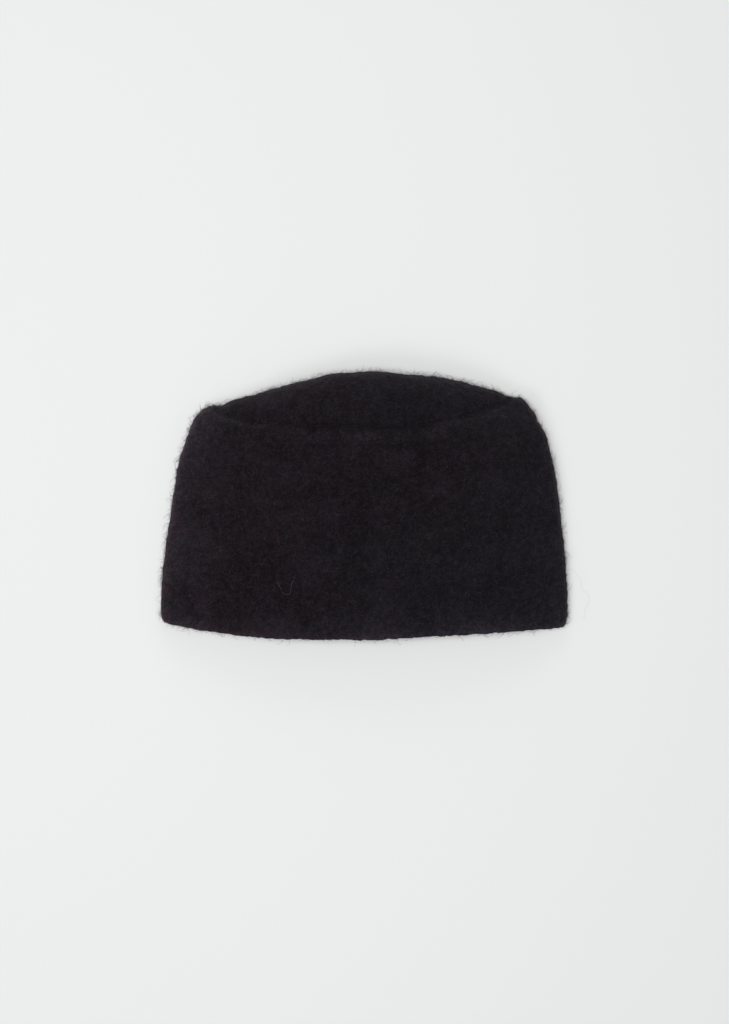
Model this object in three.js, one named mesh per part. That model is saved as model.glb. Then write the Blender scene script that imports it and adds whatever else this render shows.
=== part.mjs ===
// A felt toque lying on its back: a tapered band of thick felted wool, closed by one upright seam in the
// middle of its front, and a long oval tip whose edge is turned down inside the band.
// The hat is pressed flat at its side folds, a little open at the hem and fuller at the tip.
// Millimetres. +X is across the hat, +Y runs from the hem to the tip, +Z is up from the surface it lies on.

import * as THREE from "three";

// Felt and seams
const FELT = 3;
const SEAM_GAP = 0.3;
const ALLOWANCE_WIDTH = 12;
const ALLOWANCE_THICKNESS = 2;
const FRONT_SEAM_X = -2;
const PRESSED_OPEN = { thickness: 1.8, from: 0.6, to: 9, endsBelowSeam: 14.6 };

// The band's outline, seen from above
const HEIGHT = 148.8;
const FRONT_HEM_Y = -93.6;
const BACK_HEM_Y = -89;
const BACK_HEIGHT = 150;
const WIDEST = 142.8;

// The tip's outline, seen from above
const TIP_TOP_Y = 94.4;
const TIP_SWING = 1.2;

// Relief on the outer face: how far it stands out (+) or sinks (-), and over what width
const SEAM_GROOVE = { depth: 1.3, reach: 1.9 };
const ALLOWANCE_RIDGE = { height: 1.1, from: 1.5, to: 12.6 };
const STITCH_GROOVE = { depth: 0.5, at: 13.6, reach: 1.5 };
const FRONT_SEAM_GROOVE = { depth: 1.0, reach: 1.8 };
const FRONT_SEAM_SHOULDER = { height: 0.35, at: 8, reach: 2.5 };
const RELIEF_ENDS = 0.8;

// Sections of the band, from the hem to the cross seam.
// up: how far up the middle of the front; half: half the width over the side folds; shift: how far the
// middle between the folds is off the centre; side: where the folds are along the hat; rise: height of the
// front over the surface; fold: thickness of the side folds; round: share of the curve towards the sides that
// is kept for the corners; lean: how much higher the right side is than the left; swing: how far the front's
// left half hangs below its right half.
const BAND_SECTIONS = [
  { up: 0, half: 138.8, shift: 0, side: -84.3, rise: 21.5, fold: 8.2, round: 0.1, lean: -1.5, swing: 4.8 },
  { up: 3, half: 141.6, shift: 0, side: -81.4, rise: 22.1, fold: 8.3, round: 0.1, lean: -1.5, swing: 4.6 },
  { up: 9, half: 142.6, shift: 0, side: -75, rise: 22.8, fold: 8.5, round: 0.12, lean: -1.4, swing: 4.2 },
  { up: 30, half: 141.9, shift: 0.4, side: -53, rise: 24.6, fold: 8.8, round: 0.16, lean: -1, swing: 3 },
  { up: 60, half: 138.6, shift: 0.8, side: -22, rise: 27.8, fold: 9.4, round: 0.26, lean: 0, swing: 1.4 },
  { up: 90, half: 135, shift: 1.2, side: 8, rise: 31.6, fold: 10.2, round: 0.38, lean: 1, swing: 0.4 },
  { up: 112, half: 131.2, shift: 1, side: 30, rise: 34.6, fold: 11.2, round: 0.46, lean: 1.6, swing: 0 },
  { up: 125, half: 127.2, shift: 1, side: 44.4, rise: 36.4, fold: 12.2, round: 0.52, lean: 2, swing: 0 },
  { up: 136, half: 122.2, shift: 0.8, side: 57.6, rise: 37.8, fold: 13.4, round: 0.57, lean: 2.2, swing: 0 },
  { up: 143, half: 116.7, shift: 0.2, side: 67.2, rise: 38.3, fold: 14.2, round: 0.6, lean: 2.3, swing: 0 },
  { up: 146.5, half: 111, shift: -0.4, side: 72.4, rise: 38.3, fold: 14.6, round: 0.6, lean: 2.4, swing: 0 },
  { up: HEIGHT, half: 103.4, shift: -1.4, side: 74.8, rise: 38, fold: 15, round: 0.6, lean: 2.4, swing: 0 },
];
const ARCH_POWER = 2.4;
const TIP_POWER = 2.3;

// The share of the way to a side fold from which the tip's ends begin to turn round it
const TIP_ENDS_FROM = 0.55;

// Soft swellings (+) and hollows (-) of the front, one row each: where its middle is, how high it stands, and
// how far it reaches across and along the hat.
const FRONT_FORMS = [
  { x: 16, y: 18, height: 0.9, across: 22, along: 17 },
  { x: -59, y: 32, height: -1.1, across: 24, along: 15 },
  { x: 76, y: 2, height: -1.2, across: 26, along: 15 },
  { x: 39, y: 26, height: -0.7, across: 14, along: 10 },
  { x: -31, y: -18, height: -0.9, across: 26, along: 20 },
  { x: -78, y: -30, height: 0.9, across: 30, along: 26 },
  { x: 52, y: -71, height: -1.0, across: 26, along: 15 },
  { x: 88, y: -44, height: 0.8, across: 28, along: 18 },
];

// How finely the surfaces are cut: distances below the cross seam where the band has a ring of points,
// distances from the front seam where it has a line of points, and steps over the rest.
const RINGS_ON_ALLOWANCE = [0, 1.5, 3.4, 6.4, 9.4, ALLOWANCE_WIDTH];
const RINGS_TO_HEM = [13.6, 15.6, 20, 27, 36, 48, 62, 78, 94, 110, 124, 134, 140.5, 145, 147.4, HEIGHT];
const RINGS_BELOW_SEAM = [...RINGS_ON_ALLOWANCE, ...RINGS_TO_HEM];
const LINES_BY_SEAM = [-10.5, -8, -2.4, 0, 2.4, 8, 10.5];
const STEPS_BESIDE_SEAM = 15;
const SHARES_ROUND_FOLD = [0.05, 0.13, 0.24, 0.37, 0.5, 0.63, 0.76, 0.87, 0.95];

const FELT_COLOUR = new THREE.Color(0.011, 0.0093, 0.0118);

// Values that follow from the sizes above
const SEAM = HEIGHT;
const TINY = 0.02;

// The value of one column at a place between the rows of a table, on a smooth curve through them.
function between(table, place, column, at) {
  const last = table.length - 1;
  let row = 0;
  while (row < last - 1 && at > table[row + 1][place]) row += 1;
  const slope = (n) => {
    const low = table[Math.max(n - 1, 0)];
    const high = table[Math.min(n + 1, last)];
    return (high[column] - low[column]) / (high[place] - low[place]);
  };
  const [from, to] = [table[row], table[row + 1]];
  const span = to[place] - from[place];
  const share = (at - from[place]) / span;
  const s2 = share * share;
  const s3 = s2 * share;
  return (
    from[column] * (2 * s3 - 3 * s2 + 1) +
    to[column] * (3 * s2 - 2 * s3) +
    slope(row) * span * (s3 - 2 * s2 + share) +
    slope(row + 1) * span * (s3 - s2)
  );
}

const section = (column, up) => between(BAND_SECTIONS, "up", column, up);
const bell = (distance, reach) => Math.exp(-((distance / reach) ** 2));

// How far a curve that is level in the middle has climbed at t, from 0 in the middle to 1 at either side.
function climb(t, round) {
  return (1 - round) * t ** 2 + round * t ** 4;
}

const frontMiddle = (up) => FRONT_HEM_Y + up;
const backMiddle = (up) => BACK_HEM_Y + (up / HEIGHT) * BACK_HEIGHT;
const foldRadius = (up) => section("fold", up) / 2;
const coreHalf = (up) => section("half", up) - foldRadius(up);

// How much further up the side fold reaches at its outermost line than where it leaves the front and the
// back, so that a section runs round it without a kink.
function foldCrest(up) {
  const steepness = ((2 + 2 * section("round", up)) * foldRadius(up)) / coreHalf(up);
  const middle = (frontMiddle(up) + backMiddle(up)) / 2;
  return (steepness * (section("side", up) - middle)) / (1 + steepness);
}

// Where a section runs at t, from -1 at the left fold to 1 at the right one.
function runs(middle, t, up) {
  const rise = (section("side", up) - foldCrest(up) - middle) * climb(t, section("round", up));
  return middle + rise + section("lean", up) * t;
}

const frontY = (t, up) => runs(frontMiddle(up), t, up) + section("swing", up) * t * (1 - t ** 2);
const backY = (t, up) => runs(backMiddle(up), t, up);

function frontForm(x, y) {
  return FRONT_FORMS.reduce(
    (sum, form) => sum + form.height * bell(x - form.x, form.across) * bell(y - form.y, form.along),
    0,
  );
}

// The lines of points round a section: each is a part of the loop and a share of the way along that part.
function linesRound() {
  const steps = Array.from({ length: STEPS_BESIDE_SEAM }, (_, n) => n / STEPS_BESIDE_SEAM);
  const near = LINES_BY_SEAM.map((distance) => (FRONT_SEAM_X + distance) / WIDEST);
  const left = steps.map((share) => THREE.MathUtils.lerp(-1, near[0], share));
  const right = steps.map((share) => THREE.MathUtils.lerp(1, near.at(-1), share)).reverse();
  const across = [...left, ...near, ...right];
  return {
    across,
    loop: [
      ...across.map((t) => ({ part: "front", t })),
      ...SHARES_ROUND_FOLD.map((share) => ({ part: "right", share })),
      ...across.map((t) => ({ part: "back", t })).reverse(),
      ...SHARES_ROUND_FOLD.map((share) => ({ part: "left", share })).reverse(),
    ],
  };
}

// A point of the band's outer face. Its section is a thin arched core with half a fold's thickness laid
// round it, so that the felt turns over at the sides without a crease.
function bandFace(line, up) {
  const radius = foldRadius(up);
  const core = coreHalf(up);
  const lift = section("rise", up) - 2 * radius;
  const steepest = (-lift * ARCH_POWER) / core;
  const centre = section("shift", up);
  if (line.part === "back") return new THREE.Vector3(centre + core * line.t, backY(line.t, up), 0);
  if (line.part === "front") {
    const { t } = line;
    const slope = steepest * Math.sign(t) * Math.abs(t) ** (ARCH_POWER - 1);
    const length = Math.hypot(slope, 1);
    const x = centre + core * t - (radius * slope) / length;
    const y = frontY(t, up);
    const z = radius + lift * (1 - Math.abs(t) ** ARCH_POWER) + radius / length;
    return new THREE.Vector3(x, y, z + frontForm(x, y));
  }
  const side = line.part === "right" ? 1 : -1;
  const top = Math.atan2(1, -steepest);
  const angle = top - line.share * (top + Math.PI / 2);
  const y = frontY(side, up) + foldCrest(up) * Math.sin(Math.PI * line.share);
  const x = centre + side * (core + radius * Math.cos(angle));
  return new THREE.Vector3(x, y, radius * (1 + Math.sin(angle)));
}

// The point next to a line, a tiny step along the loop.
function nextTo(line, step) {
  if (line.part === "front") return { part: "front", t: THREE.MathUtils.clamp(line.t + step, -1, 1) };
  if (line.part === "back") return { part: "back", t: THREE.MathUtils.clamp(line.t - step, -1, 1) };
  const forward = line.part === "right" ? step : -step;
  return { part: line.part, share: THREE.MathUtils.clamp(line.share + forward, 0, 1) };
}

function bandNormal(line, up) {
  const round = bandFace(nextTo(line, TINY), up).sub(bandFace(nextTo(line, -TINY), up));
  const along = bandFace(line, Math.min(up + TINY, SEAM)).sub(bandFace(line, Math.max(up - TINY, 0)));
  return along.cross(round).normalize().negate();
}

// How much of the relief shows: all of it on the front, none where the felt is pressed on the surface.
function shows(line) {
  if (line.part === "front") return 1;
  if (line.part === "back") return 0;
  return Math.max(1 - (line.share / RELIEF_ENDS) ** 2, 0);
}

const seamGroove = (distance) => -SEAM_GROOVE.depth * bell(distance, SEAM_GROOVE.reach);
const besideFrontSeam = (line) => Math.abs(line.t * WIDEST - FRONT_SEAM_X);

// How far the band's outer face stands out or sinks in.
function bandRelief(line, up) {
  const below = SEAM - up;
  const { from, to, height } = ALLOWANCE_RIDGE;
  const onRidge = THREE.MathUtils.clamp((below - from) / (to - from), 0, 1);
  let relief = height * Math.sin(Math.PI * onRidge);
  relief -= STITCH_GROOVE.depth * bell(below - STITCH_GROOVE.at, STITCH_GROOVE.reach);
  relief += seamGroove(below);
  if (line.part === "front") {
    const aside = besideFrontSeam(line);
    const belowRidge = 1 - bell(below, STITCH_GROOVE.at);
    const groove = FRONT_SEAM_GROOVE.depth * bell(aside, FRONT_SEAM_GROOVE.reach);
    const { height: shoulder, at, reach } = FRONT_SEAM_SHOULDER;
    relief += belowRidge * (shoulder * bell(aside - at, reach) - groove);
  }
  return relief * shows(line);
}

// How far in the band's inner face lies: the felt, and beside the front seam its two edges, pressed open.
function bandInset(line, up) {
  if (line.part !== "front" || SEAM - up < PRESSED_OPEN.endsBelowSeam) return -FELT;
  const aside = besideFrontSeam(line);
  const isEdge = aside > PRESSED_OPEN.from && aside < PRESSED_OPEN.to;
  return isEdge ? -FELT - PRESSED_OPEN.thickness : -FELT;
}

// A ring of points round the band, each moved out from its face by what out gives for it.
function bandRing(loop, up, out) {
  return loop.map((line) => bandFace(line, up).addScaledVector(bandNormal(line, up), out(line, up)));
}

// The tip's outer face: at each place across, half an oval from the front seam over to the back seam.
function tipFace(t, share) {
  const front = bandFace({ part: "front", t }, SEAM);
  const back = bandFace({ part: "back", t }, SEAM);
  const angle = Math.PI * share;
  const point = front.clone().lerp(back, (1 - Math.cos(angle)) / 2);
  const side = section("side", SEAM) - foldCrest(SEAM);
  const drop = (TIP_TOP_Y - side) * Math.abs(t) ** TIP_POWER;
  const arch = TIP_TOP_Y - drop + section("lean", SEAM) * t + TIP_SWING * t * (1 - t ** 2);
  point.y += (arch - (front.y + back.y) / 2) * Math.sin(angle);
  const end = THREE.MathUtils.smoothstep(Math.abs(t), TIP_ENDS_FROM, 1) * Math.abs(t);
  const part = t > 0 ? "right" : "left";
  const corner = Math.sign(t) || 1;
  const straight = bandFace({ part: "front", t: corner }, SEAM).lerp(
    bandFace({ part: "back", t: corner }, SEAM),
    (1 - Math.cos(angle)) / 2,
  );
  return point.addScaledVector(bandFace({ part, share }, SEAM).sub(straight), end);
}

function tipNormal(t, share) {
  const lowT = Math.max(t - TINY, -1);
  const highT = Math.min(t + TINY, 1);
  const across = tipFace(highT, share).sub(tipFace(lowT, share));
  const over = tipFace(t, Math.min(share + TINY, 1)).sub(tipFace(t, Math.max(share - TINY, 0)));
  return over.cross(across).normalize().negate();
}

// Builds one closed mesh from points and faces.
class Surface {
  constructor() {
    this.positions = [];
    this.faces = [];
  }

  addPoint(point) {
    this.positions.push(point.x, point.y, point.z);
    return this.positions.length / 3 - 1;
  }

  addRing(points) {
    return points.map((point) => this.addPoint(point));
  }

  addQuad(a, b, c, d) {
    this.faces.push(a, b, c, a, c, d);
  }

  // Joins two rings of equal length by a strip of four-sided faces.
  joinRings(first, second) {
    first.forEach((_, n) => {
      const next = (n + 1) % first.length;
      this.addQuad(first[n], first[next], second[next], second[n]);
    });
  }

  mesh(name, material) {
    const geometry = new THREE.BufferGeometry();
    geometry.setAttribute("position", new THREE.Float32BufferAttribute(this.positions, 3));
    geometry.setIndex(this.faces);
    geometry.computeVertexNormals();
    const mesh = new THREE.Mesh(geometry, material);
    mesh.name = name;
    return mesh;
  }
}

// The band: its outer face from the hem up to the seam, then its inner face back down to the hem.
function band(loop, material) {
  const surface = new Surface();
  const ups = RINGS_BELOW_SEAM.map((below) => SEAM - Math.max(below, SEAM_GAP)).reverse();
  const outer = ups.map((up) => surface.addRing(bandRing(loop, up, bandRelief)));
  const inner = ups.map((up) => surface.addRing(bandRing(loop, up, bandInset))).reverse();
  const rings = [...outer, ...inner];
  rings.forEach((ring, n) => surface.joinRings(ring, rings[(n + 1) % rings.length]));
  return surface.mesh("band", material);
}

// The tip: an outer and an inner face over a grid, and round their edge an allowance turned down inside the
// band.
function tip({ across, loop }, material) {
  const surface = new Surface();
  const shares = [0, ...SHARES_ROUND_FOLD, 1];
  const width = across.length - 1;
  const depthOver = shares.length - 1;

  // The grid's edge in the same order as the loop: front, right fold, back, left fold.
  const edge = [
    ...across.map((_, i) => [i, 0]),
    ...SHARES_ROUND_FOLD.map((_, j) => [width, j + 1]),
    ...across.map((_, i) => [width - i, depthOver]),
    ...SHARES_ROUND_FOLD.map((_, j) => [0, depthOver - 1 - j]),
  ];

  const face = (edgeRing, depth) => {
    const onEdge = new Map(edge.map(([i, j], n) => [`${i},${j}`, edgeRing[n]]));
    return across.map((t, i) =>
      shares.map((share, j) => {
        if (onEdge.has(`${i},${j}`)) return onEdge.get(`${i},${j}`);
        const fromSeam = tipFace(t, share).distanceTo(tipFace(t, share < 0.5 ? 0 : 1));
        const relief = depth > 0 ? -depth : seamGroove(fromSeam) * (share < 0.5 ? 1 : 0);
        return surface.addPoint(tipFace(t, share).addScaledVector(tipNormal(t, share), relief));
      }),
    );
  };
  const fill = (grid, outwards) => {
    for (let i = 0; i < width; i += 1) {
      for (let j = 0; j < depthOver; j += 1) {
        const corners = [grid[i][j], grid[i + 1][j], grid[i + 1][j + 1], grid[i][j + 1]];
        surface.addQuad(...(outwards ? corners : corners.reverse()));
      }
    }
  };

  const clear = FELT + SEAM_GAP;
  const allowance = (depth) =>
    RINGS_ON_ALLOWANCE.map((below) => surface.addRing(bandRing(loop, SEAM - below, () => -depth)));
  const rim = surface.addRing(bandRing(loop, SEAM, bandRelief));
  const down = allowance(clear);
  const back = allowance(clear + ALLOWANCE_THICKNESS).reverse();
  fill(face(rim, 0), true);
  const rings = [rim, ...down, ...back];
  rings.slice(1).forEach((ring, n) => surface.joinRings(ring, rings[n]));
  fill(face(rings.at(-1), FELT), false);
  return surface.mesh("tip", material);
}

const felt = new THREE.MeshStandardMaterial({ color: FELT_COLOUR, roughness: 0.95, metalness: 0 });
const lines = linesRound();
const toque = new THREE.Group();
toque.add(band(lines.loop, felt), tip(lines, felt));

// The origin is under the middle of the hat, on the surface that it lies on.
const bounds = new THREE.Box3().setFromObject(toque, true);
const middle = bounds.getCenter(new THREE.Vector3());
toque.position.set(-middle.x, -middle.y, -bounds.min.z);

export default toque;
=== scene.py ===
# %% [markdown]
# # A felt toque, lying flat
# The real hat is two pieces of thick felted wool: a tall band with one upright seam, and an oval tip sewn in
# at the top. It has no lining and no brim, so all there is to see is the felt: its soft thickness, its raw
# hem, the puffed line below the seam, and the fuzz that catches the light.
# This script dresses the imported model, which it doesn't move. It works in metres, in the model's own frame:
# X across the hat, Y from the hem to the tip, Z up from the table.

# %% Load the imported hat
import math
from types import SimpleNamespace

import bmesh
import bpy
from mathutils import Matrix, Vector
from mathutils.bvhtree import BVHTree


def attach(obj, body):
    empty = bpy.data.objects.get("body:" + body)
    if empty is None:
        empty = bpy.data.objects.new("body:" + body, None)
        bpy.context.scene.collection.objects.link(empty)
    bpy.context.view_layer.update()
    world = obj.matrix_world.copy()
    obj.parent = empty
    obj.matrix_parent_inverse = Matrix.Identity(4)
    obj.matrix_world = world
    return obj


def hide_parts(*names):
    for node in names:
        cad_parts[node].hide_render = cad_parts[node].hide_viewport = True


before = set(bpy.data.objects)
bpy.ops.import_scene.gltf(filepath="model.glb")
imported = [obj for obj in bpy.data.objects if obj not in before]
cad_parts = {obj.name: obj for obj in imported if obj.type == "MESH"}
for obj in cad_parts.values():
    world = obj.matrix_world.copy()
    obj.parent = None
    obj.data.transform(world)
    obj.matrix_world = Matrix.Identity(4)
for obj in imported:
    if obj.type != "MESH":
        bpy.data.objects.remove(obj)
scene = bpy.context.scene
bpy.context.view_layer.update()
MM = 0.001

# %% [markdown]
# ## Camera
# The hat was photographed from straight above with a long lens, so its outline shows almost no perspective.
# One picture pixel is 0.7 mm on the hat, which gives the picture's height in metres. The lens then follows
# from that height and from how far up the camera is.

# %% Camera straight above
PICTURE_PIXELS_HIGH = 1024
MM_PER_PIXEL = 0.7
CAMERA_HEIGHT = 2.4
SENSOR_MM = 36
PICTURE_MIDDLE = Vector((0.3 * MM, -4.7 * MM, 0))


def new_object(name, data):
    """An object of the scene with that mesh, curve, camera or light."""
    made = bpy.data.objects.new(name, data)
    scene.collection.objects.link(made)
    return made


picture_height = PICTURE_PIXELS_HIGH * MM_PER_PIXEL * MM
camera_data = bpy.data.cameras.new("overhead_camera")
camera_data.sensor_width = SENSOR_MM
camera_data.lens = SENSOR_MM * CAMERA_HEIGHT / picture_height
camera = new_object("overhead_camera", camera_data)
camera.location = PICTURE_MIDDLE + Vector((0, 0, CAMERA_HEIGHT))
scene.camera = camera
print("lens in mm:", round(camera_data.lens, 1))

# %% [markdown]
# ## Node helpers
# Materials and Geometry Nodes are trees of nodes. They could be clicked together by hand, but a script can be
# repeated. One helper adds a node and fills its inputs, from plain values or from other nodes' outputs, and
# the others do arithmetic.

# %% Helpers that add nodes to a tree
def feed(tree, socket, value):
    """Gives an input its value, or links it to the output that feeds it."""
    if isinstance(value, bpy.types.NodeSocket):
        tree.links.new(value, socket)
    else:
        socket.default_value = value


def add_node(tree, kind, inputs=None, **settings):
    """A new node. inputs maps a socket's name or number to a value, or to an output that feeds it."""
    node = tree.nodes.new(kind)
    for name, value in settings.items():
        setattr(node, name, value)
    for name, value in (inputs or {}).items():
        feed(tree, node.inputs[name], value)
    return node


def calc(tree, operation, *values):
    """The result of one Math node."""
    return add_node(tree, "ShaderNodeMath", dict(enumerate(values)), operation=operation).outputs[0]


def vector_calc(tree, operation, *values):
    """The result of one Vector Math node: a number for DOT_PRODUCT and DISTANCE, otherwise a vector."""
    sockets = (0, "Scale") if operation == "SCALE" else (0, 1)
    node = add_node(tree, "ShaderNodeVectorMath", dict(zip(sockets, values)), operation=operation)
    return node.outputs["Value" if operation in ("DOT_PRODUCT", "DISTANCE") else "Vector"]


def spread(tree, value, low, high):
    """value from low..high stretched to 0..1."""
    inputs = {"Value": value, "From Min": low, "From Max": high}
    return add_node(tree, "ShaderNodeMapRange", inputs).outputs[0]


# %% [markdown]
# ## The felt
# Felted wool is a tangle of dyed fibres. From afar it is one near-black, and close up it has three scales:
# single fibres a millimetre or two apart, soft nubs of two or three millimetres, and faint clouds of a
# centimetre and more, where the wool is thicker. A picture of felt would blur and repeat, so noise textures
# of those real sizes are mixed instead.

# %% Noise of a real size
NOISE_ROUGHNESS = 0.6


def noise(tree, place, size, detail=2.0):
    """A noise texture whose features are about size across, in metres."""
    inputs = {"Vector": place, "Scale": 1 / size, "Detail": detail, "Roughness": NOISE_ROUGHNESS}
    return add_node(tree, "ShaderNodeTexNoise", inputs).outputs["Fac"]


# %% [markdown]
# The fibres on the surface cross as thin lines. Real curves would show them too, but the edges between the
# cells of a Voronoi texture are such a net already. Noise makes the lines wander, and a second noise breaks
# them off here and there.

# %% Crossing fibres
STRAND_WIDTH = 0.13
STRAND_WANDER = 1.6
NOISE_MIDDLE = (0.5, 0.5, 0.5)
STRAND_BREAK_SIZE = 1.5
STRAND_BREAKS = (0.4, 0.6)


def tangle(tree, place, size):
    """Thin crossing lines, 1 on a line and 0 off it: the edges between cells that are about size across."""
    wander = add_node(tree, "ShaderNodeTexNoise", {"Vector": place, "Scale": 1 / size}).outputs["Color"]
    wander = vector_calc(tree, "SUBTRACT", wander, NOISE_MIDDLE)
    wander = vector_calc(tree, "SCALE", wander, STRAND_WANDER * size)
    inputs = {"Vector": vector_calc(tree, "ADD", place, wander), "Scale": 1 / size}
    cells = add_node(tree, "ShaderNodeTexVoronoi", inputs, feature="DISTANCE_TO_EDGE").outputs["Distance"]
    line = spread(tree, cells, STRAND_WIDTH, 0.0)
    unbroken = spread(tree, noise(tree, place, STRAND_BREAK_SIZE * size, detail=1.0), *STRAND_BREAKS)
    return calc(tree, "MULTIPLY", line, unbroken)


# %% [markdown]
# Wool looks lighter where fibres, grain and nubs stand out together. One noise can't do that, so each layer
# adds its share to a start well below zero. Where a note on the mesh's points holds painted highlight, for the
# light that the bent felt catches, the wool is lighter still.

# %% Layers of lightness
STRAND_SIZES = (2.2 * MM, 3.1 * MM)
STRAND_SHARE = 0.64
GRAIN = {"size": 0.8 * MM, "range": (0.3, 0.75), "share": 0.72}
NUBS = {"size": 5 * MM, "range": (0.25, 0.75), "share": 0.20}
CLOUDS = {"size": 26 * MM, "range": (0.25, 0.75), "share": 0.42}
DARKEST = -0.44
HIGHLIGHT_ATTRIBUTE = "raised_nap"
HIGHLIGHT_LIGHTNESS = 0.2
HIGHLIGHT_GRAIN = 0.4


def layer(tree, place, kind):
    """One layer of noise, stretched to 0..1."""
    return spread(tree, noise(tree, place, kind["size"]), *kind["range"])


def point_note(tree, name):
    """The number that a mesh holds on its points under that name."""
    return add_node(tree, "ShaderNodeAttribute", attribute_name=name).outputs["Fac"]


def felt_lightness(tree, place, grain, nubs):
    """How light the wool is, 0 in the darkest places, with the painted highlight added."""
    strands = calc(tree, "MAXIMUM", *[tangle(tree, place, size) for size in STRAND_SIZES])
    clouds = layer(tree, place, CLOUDS)
    shares = (
        (strands, STRAND_SHARE), (grain, GRAIN["share"]), (nubs, NUBS["share"]), (clouds, CLOUDS["share"]))
    lightness = DARKEST
    for part, share in shares:
        lightness = calc(tree, "MULTIPLY_ADD", part, share, lightness)
    lightness = calc(tree, "MAXIMUM", lightness, 0.0)
    # Painted highlight: the note lightens the wool, and its grain a little more.
    lighter = calc(tree, "MULTIPLY_ADD", lightness, HIGHLIGHT_GRAIN, HIGHLIGHT_LIGHTNESS)
    return calc(tree, "MULTIPLY_ADD", point_note(tree, HIGHLIGHT_ATTRIBUTE), lighter, lightness)


# %% [markdown]
# The dyed wools didn't mix fully: the felt is plum towards the left, blue towards the right, and grey in
# patches. One flat colour would look like plastic, so noise turns one dye into the next.

# %% Dye
DYE_PATCH_SIZE = 18 * MM
DYE_DRIFT_SIZE = 130 * MM
DYE_ACROSS = 1.5
DYE_TURN = (0.7, 1.25)
DYE_PLUM = (1.27, 0.89, 1.05, 1)
DYE_BLUE = (0.92, 0.98, 1.12, 1)
DYE_GREY = (1.00, 1.00, 1.03, 1)
GREY_SHIFT = (1, 0, 0)
GREY_TURN = (0.4, 0.7)


def blend_colours(tree, mode, amount, first, second):
    """The first colour with that amount of the second, mixed in or multiplied by it."""
    node = add_node(tree, "ShaderNodeMix", data_type="RGBA", blend_type=mode, clamp_factor=False)
    for name, value in {"Factor": amount, "A": first, "B": second}.items():
        feed(tree, next(socket for socket in node.inputs if socket.name == name and socket.enabled), value)
    return next(socket for socket in node.outputs if socket.enabled)


def dye_colour(tree, place):
    """The dye, as a factor for red, green and blue."""
    drift = noise(tree, place, DYE_DRIFT_SIZE, detail=1.0)
    patches = noise(tree, place, DYE_PATCH_SIZE, detail=3.0)
    across = add_node(tree, "ShaderNodeSeparateXYZ", {"Vector": place}).outputs["X"]
    side = calc(tree, "MULTIPLY_ADD", across, DYE_ACROSS, calc(tree, "ADD", drift, patches))
    dye = blend_colours(tree, "MIX", spread(tree, side, *DYE_TURN), DYE_PLUM, DYE_BLUE)
    shifted = vector_calc(tree, "ADD", place, GREY_SHIFT)
    grey = spread(tree, noise(tree, shifted, DYE_PATCH_SIZE, detail=3.0), *GREY_TURN)
    return blend_colours(tree, "MIX", grey, dye, DYE_GREY)


# %% [markdown]
# Now the material. The nubs and the grain also raise a bump, which costs less than real points of that size.
# The pale edge of felt is light that grazes its fuzz, and that is what a shader's sheen is for; the painted
# highlight adds to it. Another note on the points paints shade into the seams, where no light gets in.

# %% Felt material
FELT_DARK = (0.0012, 0.0010, 0.0013, 1)
FELT_LIGHT = (0.0150, 0.0128, 0.0155, 1)
SEAM_ATTRIBUTE = "seam_shade"
SEAM_DARKNESS = 0.6
GRAIN_BUMP = 0.25 * MM
NUB_BUMP = 0.6 * MM
FELT_SHADER = {
    "Roughness": 0.95,
    "Specular IOR Level": 0.04,
    "Sheen Weight": 1.0,
    "Sheen Roughness": 0.6,
    "Sheen Tint": (0.082, 0.072, 0.084, 1),
}


def new_material(name, shader_values):
    """A material, its tree and its shader, with those values in the shader's inputs."""
    material = bpy.data.materials.new(name)
    material.use_nodes = True
    shader = material.node_tree.nodes["Principled BSDF"]
    for socket_name, value in shader_values.items():
        shader.inputs[socket_name].default_value = value
    return material, material.node_tree, shader


def make_felt(name):
    material, tree, shader = new_material(name, FELT_SHADER)
    place = add_node(tree, "ShaderNodeTexCoord").outputs["Object"]
    grain = layer(tree, place, GRAIN)
    nubs = layer(tree, place, NUBS)
    colour = blend_colours(tree, "MIX", felt_lightness(tree, place, grain, nubs), FELT_DARK, FELT_LIGHT)
    colour = blend_colours(tree, "MULTIPLY", 1.0, colour, dye_colour(tree, place))
    # Painted shade: in the seams the colour is pulled towards the felt's dark colour.
    seam_shade = calc(tree, "MULTIPLY", point_note(tree, SEAM_ATTRIBUTE), SEAM_DARKNESS)
    colour = blend_colours(tree, "MIX", seam_shade, colour, FELT_DARK)
    tree.links.new(colour, shader.inputs["Base Color"])

    nub_bump = add_node(tree, "ShaderNodeBump", {"Strength": 1.0, "Distance": NUB_BUMP, "Height": nubs})
    grain_bump = add_node(tree, "ShaderNodeBump", {
        "Strength": 1.0, "Distance": GRAIN_BUMP, "Height": grain, "Normal": nub_bump.outputs["Normal"]})
    tree.links.new(grain_bump.outputs["Normal"], shader.inputs["Normal"])
    return material


felt = make_felt("felt_near_black")
print("felt material nodes:", len(felt.node_tree.nodes))

# %% [markdown]
# ## The felt body
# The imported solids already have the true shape: the wall, the side folds, the seam and the hollow. Felt has
# softer edges, though. A subdivision surface will round them, and it needs even, four-sided faces: so each
# solid is copied, its triangles are merged and long faces are cut. In the seam a crease keeps edges firmer.

# %% Copy a solid as clean four-sided faces
SEWN_TO = {"band": "tip", "tip": "band"}
MERGE_DISTANCE = 0.01 * MM
FLAT_ENOUGH = math.radians(70)
LONGEST_FACE = 11 * MM
LONGEST_HEM_FACE = 6 * MM
HEM_FACES_BELOW = -84 * MM
SEAM_REACH = 0.45 * MM
SEAM_EDGE_ANGLE = math.radians(40)
SEAM_CREASE = 0.4


def seam_edges(shell, partner):
    """The sharp edges of a solid that meet its partner in the seam."""
    met = {vertex for vertex in shell.verts if partner.find_nearest(vertex.co, SEAM_REACH)[0]}
    return [edge for edge in shell.edges
            if met.issuperset(edge.verts) and edge.calc_face_angle(0) > SEAM_EDGE_ANGLE]


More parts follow.
